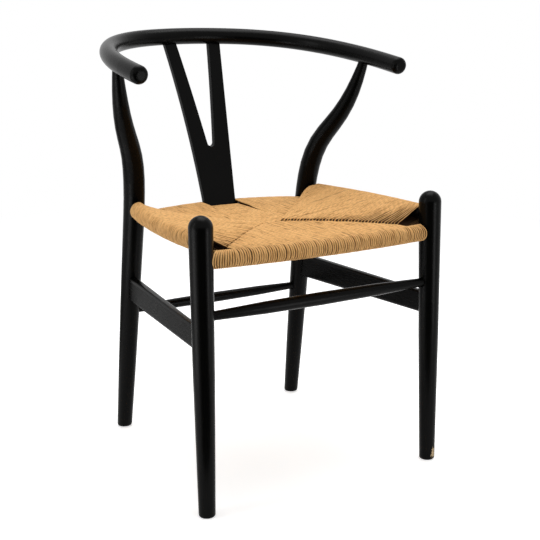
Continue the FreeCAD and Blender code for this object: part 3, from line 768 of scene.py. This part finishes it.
# %% Floor
floor_half = 8.0
floor_colour = "#f4f4f4"
floor_mesh = bpy.data.meshes.new("floor")
floor_corners = [(-floor_half, -floor_half, 0), (floor_half, -floor_half, 0),
                 (floor_half, floor_half, 0), (-floor_half, floor_half, 0)]
floor_mesh.from_pydata(floor_corners, [], [(0, 1, 2, 3)])
floor = bpy.data.objects.new("floor", floor_mesh)
bpy.context.collection.objects.link(floor)
print("floor", 2 * floor_half, "m wide")

# %% Floor paint
floor_glow = 0.52
floor_roughness = 0.9
fade_start = 0.8
fade_end = 2.4


def seen_directly(tree):
    """1 where the camera, a reflection or glass looks, 0 for light that is shed."""
    path = add_node(tree, "ShaderNodeLightPath").outputs
    seen = path["Is Camera Ray"]
    for other in ("Is Glossy Ray", "Is Transmission Ray"):
        seen = add_node(tree, "ShaderNodeMath", {0: seen, 1: path[other]}, operation="MAXIMUM").outputs[0]
    return seen


floor_paint, floor_tree = new_material("pale studio floor")
floor_place = add_node(floor_tree, "ShaderNodeTexCoord").outputs["Object"]
distance = add_node(floor_tree, "ShaderNodeVectorMath", {0: floor_place}, operation="LENGTH")
far = add_node(floor_tree, "ShaderNodeMapRange", {
    "Value": distance.outputs["Value"], "From Min": fade_start, "From Max": fade_end,
}, interpolation_type="SMOOTHSTEP").outputs["Result"]
faded = add_node(floor_tree, "ShaderNodeMix", {
    "Factor": far, "A": linear(floor_colour), "B": linear(black),
}, data_type="RGBA")
own_glow = add_node(floor_tree, "ShaderNodeMapRange", {"Value": far, "To Min": floor_glow, "To Max": 1.0})
glow = add_node(floor_tree, "ShaderNodeMath", {
    0: seen_directly(floor_tree), 1: own_glow.outputs["Result"],
}, operation="MULTIPLY")
floor_shader = add_node(floor_tree, "ShaderNodeBsdfPrincipled", {
    "Base Color": faded.outputs["Result"], "Roughness": floor_roughness, "Specular IOR Level": 0.0,
    "Emission Color": linear(white), "Emission Strength": glow.outputs[0],
})
add_node(floor_tree, "ShaderNodeOutputMaterial", {"Surface": floor_shader.outputs["BSDF"]})
floor_mesh.materials.append(floor_paint)
print("floor is pure white from", fade_end, "m on")

# %% Light from the world
sky_level = 0.52

world = bpy.data.worlds.new("studio")
world.use_nodes = True
world.node_tree.nodes.clear()
level = add_node(world.node_tree, "ShaderNodeMapRange", {
    "Value": seen_directly(world.node_tree), "To Min": sky_level, "To Max": 1.0,
})
sky = add_node(world.node_tree, "ShaderNodeBackground", {
    "Color": linear(white), "Strength": level.outputs["Result"],
})
add_node(world.node_tree, "ShaderNodeOutputWorld", {"Surface": sky.outputs["Background"]})
bpy.context.scene.world = world
print("the world sheds light at a level of", sky_level)

# %% Lamps
top_lamp_place = Vector((0.5, 0.45, 3.4))
top_lamp_size = (2.4, 2.4)
top_lamp_power = 72.0
left_lamp_place = Vector((-2.2, 0.1, 1.1))
left_lamp_size = (0.5, 2.0)
left_lamp_power = 10.0
front_lamp_place = Vector((0.5, -2.2, 0.7))
front_lamp_size = (1.5, 1.0)
front_lamp_power = 5.0


def add_lamp(name, place, size, power):
    """A soft lamp that points at the chair."""
    lamp = bpy.data.lights.new(name, "AREA")
    lamp.shape = "RECTANGLE"
    lamp.size, lamp.size_y = size
    lamp.energy = power
    holder = bpy.data.objects.new(name, lamp)
    holder.location = place
    holder.rotation_euler = (camera_aim - place).to_track_quat("-Z", "Y").to_euler()
    bpy.context.collection.objects.link(holder)
    return holder


add_lamp("top lamp", top_lamp_place, top_lamp_size, top_lamp_power)
add_lamp("left lamp", left_lamp_place, left_lamp_size, left_lamp_power)
front_lamp = add_lamp("front lamp", front_lamp_place, front_lamp_size, front_lamp_power)
front_lamp.visible_glossy = False
print("lamps are set")

# %% [markdown]
# ## What the lacquer reflects
# The turned legs show a dark band where they reflect the unlit side of the studio, and a bright one beside
# it. These are painted reflections. A dark sheet lies on the floor in front of the chair and rises at its
# far end, by the camera, and paints the dark band. A white card that glows on its own, though it is no lamp,
# stands on each side of it and paints a highlight, and a grey sheet lies behind the chair at the left,
# where the side stretcher looks, and paints a grey reflection there. Only reflections see them, so the seat
# and the floor keep their light.

# %% Dark sheet for a painted reflection
up = Vector((0.0, 0.0, 1.0))
cloth_way = Vector((-0.4, -0.9165, 0.0))
cloth_near = 0.5
cloth_far = 1.8
cloth_near_half = 0.3
cloth_far_half = 1.35
cloth_rise = 0.8
cloth_lift = 0.002
# The dark colour paints a dark reflection on the lacquer, for the unlit side of the studio
dark_reflection_colour = "#0c0c0c"


def reflected(name, corners, faces, colour, glow):
    """A sheet that only reflections see, which paints a reflection on the lacquer."""
    mesh = bpy.data.meshes.new(name)
    mesh.from_pydata(corners, [], faces)
    finish, tree = new_material(name)
    shader = add_node(tree, "ShaderNodeBsdfPrincipled", {
        "Base Color": linear(colour), "Roughness": 1.0, "Specular IOR Level": 0.0,
        "Emission Color": linear(colour), "Emission Strength": glow,
    })
    add_node(tree, "ShaderNodeOutputMaterial", {"Surface": shader.outputs["BSDF"]})
    mesh.materials.append(finish)
    sheet = bpy.data.objects.new(name, mesh)
    bpy.context.collection.objects.link(sheet)
    sheet.visible_camera = False
    sheet.visible_diffuse = False
    sheet.visible_shadow = False


def cloth_edge(distance, half):
    """The two corners of the dark reflection sheet at a distance from the chair."""
    middle = cloth_way * distance + up * cloth_lift
    side = cloth_way.cross(up) * half
    return [middle - side, middle + side]


near_edge = cloth_edge(cloth_near, cloth_near_half)
far_edge = cloth_edge(cloth_far, cloth_far_half)
top_edge = [corner + up * cloth_rise for corner in far_edge]
reflected("dark reflection sheet", near_edge + far_edge + top_edge, [(0, 1, 3, 2), (2, 3, 5, 4)], dark_reflection_colour, 0.0)
print("dark reflection sheet", 2 * cloth_far_half, "m wide at its far end")

# %% White cards that glow, for painted highlights
card_feet = {"right highlight card": Vector((0.45, -1.15, 0.02)), "left highlight card": Vector((-0.82, -0.14, 0.02))}
card_half = 0.17
card_rise = 0.45
# The cards glow on their own, though they are no lamps, and paint highlights on the lacquer
card_highlight_glow = 4.5

for name, foot in card_feet.items():
    card_way = foot.cross(up).normalized()
    card_edge = [foot - card_way * card_half, foot + card_way * card_half]
    card_top = [corner + up * card_rise for corner in card_edge]
    reflected(name, card_edge + card_top, [(0, 1, 3, 2)], white, card_highlight_glow)
print("white cards", card_rise, "m high")

# %% Grey sheet for a painted reflection
grey_cloth_low = Vector((-1.1, 0.4, 0.0))
grey_cloth_high = Vector((-0.3, 1.7, 0.0))
# The grey colour paints a grey reflection on the lacquer
grey_reflection_colour = "#989898"

grey_corners = [Vector((x, y, cloth_lift)) for x in (grey_cloth_low.x, grey_cloth_high.x)
                for y in (grey_cloth_low.y, grey_cloth_high.y)]
reflected("grey reflection sheet", grey_corners, [(0, 1, 3, 2)], grey_reflection_colour, 0.0)
print("grey reflection sheet", round(grey_cloth_high.y - grey_cloth_low.y, 3), "m deep")
